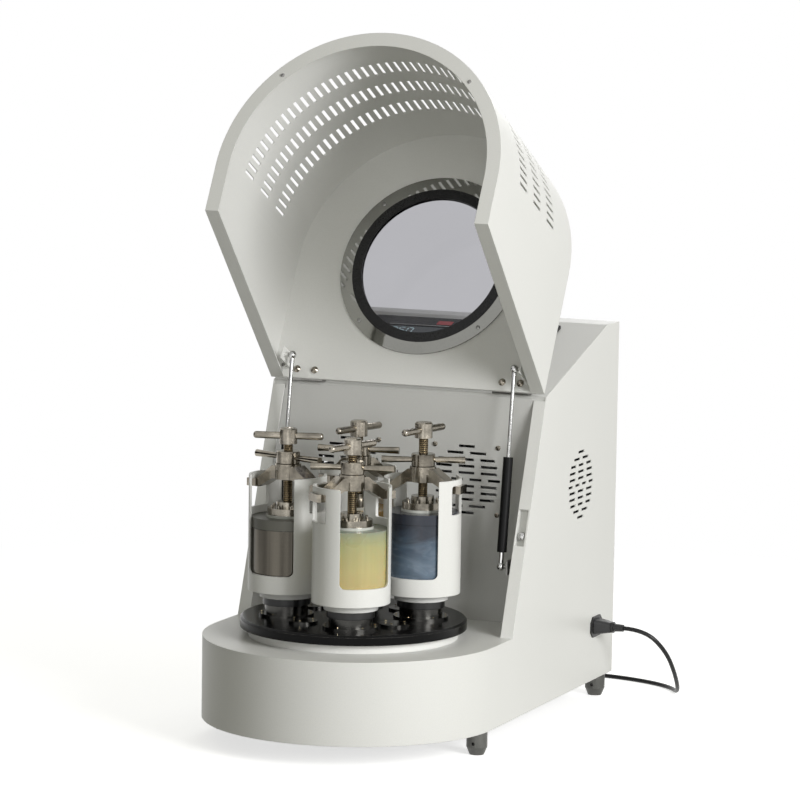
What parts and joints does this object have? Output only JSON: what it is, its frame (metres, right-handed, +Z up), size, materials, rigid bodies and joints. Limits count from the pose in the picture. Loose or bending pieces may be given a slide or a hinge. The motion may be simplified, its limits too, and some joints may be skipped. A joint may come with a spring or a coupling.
{
  "type": "planetary ball mill",
  "caption": "Bench planetary ball mill: round-fronted cabinet, hinged window hood held by gas struts, geared turntable with clamped grinding jars.",
  "frame": {"origin": "on the bench, under the middle of the cabinet's footprint", "axes": "+X to the instrument's right as seen from its front, +Y to its rear, +Z up; it stands with the hood open"},
  "size_m": [0.581, 0.8783, 1.0737],
  "materials": {
    "white_paint": "satin off-white powder coat",
    "grey_paint": "satin light grey powder coat",
    "black_steel": "blackened and oiled steel",
    "steel": "bright turned steel",
    "nickel": "nickel plate",
    "chrome": "polished",
    "cast": "plain aluminium",
    "black_plastic": "matt black",
    "black_rubber": "matt black",
    "fascia": "glossy black",
    "pane": "clear",
    "nylon": "cream nylon",
    "tan_ceramic": "glazed tan",
    "agate": "polished banded agate",
    "stainless": "brushed stainless",
    "gear_steel": "hobbed steel"
  },
  "bodies": {
    "cabinet": {"housing": "white_paint", "chamber_wall": "grey_paint", "top_cover": "grey_paint", "base_plate": "grey_paint", "levelling_feet": "steel", "cooling_fans": "black_plastic", "control_panel": "fascia", "power_inlet": "black_plastic", "gear_case": "white_paint", "sun_gear": "gear_steel", "drive_motor": "cast", "drive_belt": "black_rubber", "speed_controller": "cast", "cabinet_hardware": "steel", "cord_connector": "black_plastic", "cord_lead": "black_rubber", "cord_coil": "black_rubber", "cord_plug": "black_plastic"},
    "catch": {"catch_plunger": "chrome"},
    "carrier": {"carrier_disc": "black_steel", "carrier_shaft": "gear_steel", "bearing_caps": "steel"},
    "motor_rotor": {"motor_pulley": "cast"},
    "lid": {"lid_hood": "white_paint", "lid_window": "pane", "lid_gasket": "black_rubber", "lid_ring": "chrome", "lid_hardware": "steel"},
    "tube_right": {"strut_tube_right": "black_steel"},
    "rod_right": {"strut_rod_right": "chrome"},
    "tube_left": {"strut_tube_left": "black_steel"},
    "rod_left": {"strut_rod_left": "chrome"},
    "idler_right": {"idler_gear_right": "gear_steel"},
    "planet_right": {"jar_holder_right": "white_paint", "jar_right": "agate", "yoke_right": "nickel"},
    "pad_right": {"clamp_pad_right": "steel"},
    "screw_right": {"clamp_screw_right": "nickel"},
    "nut_right": {"lock_nut_right": "nickel"},
    "idler_back": {"idler_gear_back": "gear_steel"},
    "planet_back": {"jar_holder_back": "white_paint", "jar_back": "tan_ceramic", "yoke_back": "nickel"},
    "pad_back": {"clamp_pad_back": "steel"},
    "screw_back": {"clamp_screw_back": "nickel"},
    "nut_back": {"lock_nut_back": "nickel"},
    "idler_left": {"idler_gear_left": "gear_steel"},
    "planet_left": {"jar_holder_left": "white_paint", "jar_left": "stainless", "yoke_left": "nickel"},
    "pad_left": {"clamp_pad_left": "steel"},
    "screw_left": {"clamp_screw_left": "nickel"},
    "nut_left": {"lock_nut_left": "nickel"},
    "idler_front": {"idler_gear_front": "gear_steel"},
    "planet_front": {"jar_holder_front": "white_paint", "jar_front": "nylon", "yoke_front": "nickel"},
    "pad_front": {"clamp_pad_front": "steel"},
    "screw_front": {"clamp_screw_front": "nickel"},
    "nut_front": {"lock_nut_front": "nickel"}
  },
  "joints": [
    {"name": "lid_hinge", "type": "hinge", "parent": "cabinet", "child": "lid", "pos_m": [0, 0.05, 0.5241], "axis": [1, 0, 0], "range_deg": [0, 118.6]},
    {"name": "strut_pivot_right", "type": "hinge", "parent": "cabinet", "child": "tube_right", "pos_m": [0.1865, -0.0149, 0.2622], "axis": [1, 0, 0], "range_deg": [-2.6, 0.01]},
    {"name": "strut_slide_right", "type": "slide", "parent": "tube_right", "child": "rod_right", "axis": [0, 0.1386, 0.9904], "range_m": [-0.0768, 0.00002]},
    {"name": "strut_pivot_left", "type": "hinge", "parent": "cabinet", "child": "tube_left", "pos_m": [-0.1865, -0.0149, 0.2622], "axis": [1, 0, 0], "range_deg": [-2.6, 0.01]},
    {"name": "strut_slide_left", "type": "slide", "parent": "tube_left", "child": "rod_left", "axis": [0, 0.1386, 0.9904], "range_m": [-0.0768, 0.00002]},
    {"name": "catch_press", "type": "slide", "parent": "cabinet", "child": "catch", "axis": [0, 0.9424, -0.3345], "range_m": [0, 0.0045], "stiffness_N_per_m": 400, "springref_m": -0.004},
    {"name": "carrier_spin", "type": "hinge", "parent": "cabinet", "child": "carrier", "pos_m": [0, -0.1505, 0.1765], "axis": [0, 0, 1], "continuous": true},
    {"name": "motor_spin", "type": "hinge", "parent": "cabinet", "child": "motor_rotor", "pos_m": [0, 0.1895, 0.08], "axis": [0, 0, 1], "continuous": true},
    {"name": "idler_spin_right", "type": "hinge", "parent": "carrier", "child": "idler_right", "pos_m": [0.04678, -0.06438, 0.165], "axis": [0, 0, 1], "continuous": true},
    {"name": "planet_spin_right", "type": "hinge", "parent": "carrier", "child": "planet_right", "pos_m": [0.09588, -0.11427, 0.21], "axis": [0, 0, 1], "continuous": true},
    {"name": "clamp_travel_right", "type": "slide", "parent": "planet_right", "child": "pad_right", "axis": [0, 0, 1], "range_m": [0, 0.018]},
    {"name": "clamp_turn_right", "type": "hinge", "parent": "pad_right", "child": "screw_right", "pos_m": [0.09588, -0.11427, 0.46], "axis": [0, 0, 1], "range_deg": [0, 2160.5]},
    {"name": "lock_nut_right", "type": "hinge", "parent": "planet_right", "child": "nut_right", "pos_m": [0.09588, -0.11427, 0.434], "axis": [0, 0, 1], "range_deg": [0, 90]},
    {"name": "idler_spin_back", "type": "hinge", "parent": "carrier", "child": "idler_back", "pos_m": [-0.08612, -0.10372, 0.165], "axis": [0, 0, 1], "continuous": true},
    {"name": "planet_spin_back", "type": "hinge", "parent": "carrier", "child": "planet_back", "pos_m": [-0.03623, -0.05462, 0.21], "axis": [0, 0, 1], "continuous": true},
    {"name": "clamp_travel_back", "type": "slide", "parent": "planet_back", "child": "pad_back", "axis": [0, 0, 1], "range_m": [0, 0.018]},
    {"name": "clamp_turn_back", "type": "hinge", "parent": "pad_back", "child": "screw_back", "pos_m": [-0.03623, -0.05462, 0.46], "axis": [0, 0, 1], "range_deg": [0, 2160.5]},
    {"name": "lock_nut_back", "type": "hinge", "parent": "planet_back", "child": "nut_back", "pos_m": [-0.03623, -0.05462, 0.434], "axis": [0, 0, 1], "range_deg": [0, 90]},
    {"name": "idler_spin_left", "type": "hinge", "parent": "carrier", "child": "idler_left", "pos_m": [-0.04678, -0.23662, 0.165], "axis": [0, 0, 1], "continuous": true},
    {"name": "planet_spin_left", "type": "hinge", "parent": "carrier", "child": "planet_left", "pos_m": [-0.09588, -0.18673, 0.21], "axis": [0, 0, 1], "continuous": true},
    {"name": "clamp_travel_left", "type": "slide", "parent": "planet_left", "child": "pad_left", "axis": [0, 0, 1], "range_m": [0, 0.018]},
    {"name": "clamp_turn_left", "type": "hinge", "parent": "pad_left", "child": "screw_left", "pos_m": [-0.09588, -0.18673, 0.46], "axis": [0, 0, 1], "range_deg": [0, 2160.5]},
    {"name": "lock_nut_left", "type": "hinge", "parent": "planet_left", "child": "nut_left", "pos_m": [-0.09588, -0.18673, 0.434], "axis": [0, 0, 1], "range_deg": [0, 90]},
    {"name": "idler_spin_front", "type": "hinge", "parent": "carrier", "child": "idler_front", "pos_m": [0.08612, -0.19728, 0.165], "axis": [0, 0, 1], "continuous": true},
    {"name": "planet_spin_front", "type": "hinge", "parent": "carrier", "child": "planet_front", "pos_m": [0.03623, -0.24638, 0.21], "axis": [0, 0, 1], "continuous": true},
    {"name": "clamp_travel_front", "type": "slide", "parent": "planet_front", "child": "pad_front", "axis": [0, 0, 1], "range_m": [0, 0.018]},
    {"name": "clamp_turn_front", "type": "hinge", "parent": "pad_front", "child": "screw_front", "pos_m": [0.03623, -0.24638, 0.46], "axis": [0, 0, 1], "range_deg": [0, 2160.5]},
    {"name": "lock_nut_front", "type": "hinge", "parent": "planet_front", "child": "nut_front", "pos_m": [0.03623, -0.24638, 0.434], "axis": [0, 0, 1], "range_deg": [0, 90]}
  ],
  "couplings": [
    {"joint": "strut_pivot_right", "follows": "lid_hinge", "ratio": -0.021801},
    {"joint": "strut_slide_right", "follows": "lid_hinge", "m_per_rad": -0.037092},
    {"joint": "strut_pivot_left", "follows": "lid_hinge", "ratio": -0.021801},
    {"joint": "strut_slide_left", "follows": "lid_hinge", "m_per_rad": -0.037092},
    {"joint": "motor_spin", "follows": "carrier_spin", "ratio": 3.5},
    {"joint": "idler_spin_right", "follows": "carrier_spin", "ratio": 1.3333},
    {"joint": "planet_spin_right", "follows": "carrier_spin", "ratio": -2},
    {"joint": "clamp_turn_right", "follows": "clamp_travel_right", "rad_per_m": 2094.4},
    {"joint": "idler_spin_back", "follows": "carrier_spin", "ratio": 1.3333},
    {"joint": "planet_spin_back", "follows": "carrier_spin", "ratio": -2},
    {"joint": "clamp_turn_back", "follows": "clamp_travel_back", "rad_per_m": 2094.4},
    {"joint": "idler_spin_left", "follows": "carrier_spin", "ratio": 1.3333},
    {"joint": "planet_spin_left", "follows": "carrier_spin", "ratio": -2},
    {"joint": "clamp_turn_left", "follows": "clamp_travel_left", "rad_per_m": 2094.4},
    {"joint": "idler_spin_front", "follows": "carrier_spin", "ratio": 1.3333},
    {"joint": "planet_spin_front", "follows": "carrier_spin", "ratio": -2},
    {"joint": "clamp_turn_front", "follows": "clamp_travel_front", "rad_per_m": 2094.4}
  ]
}
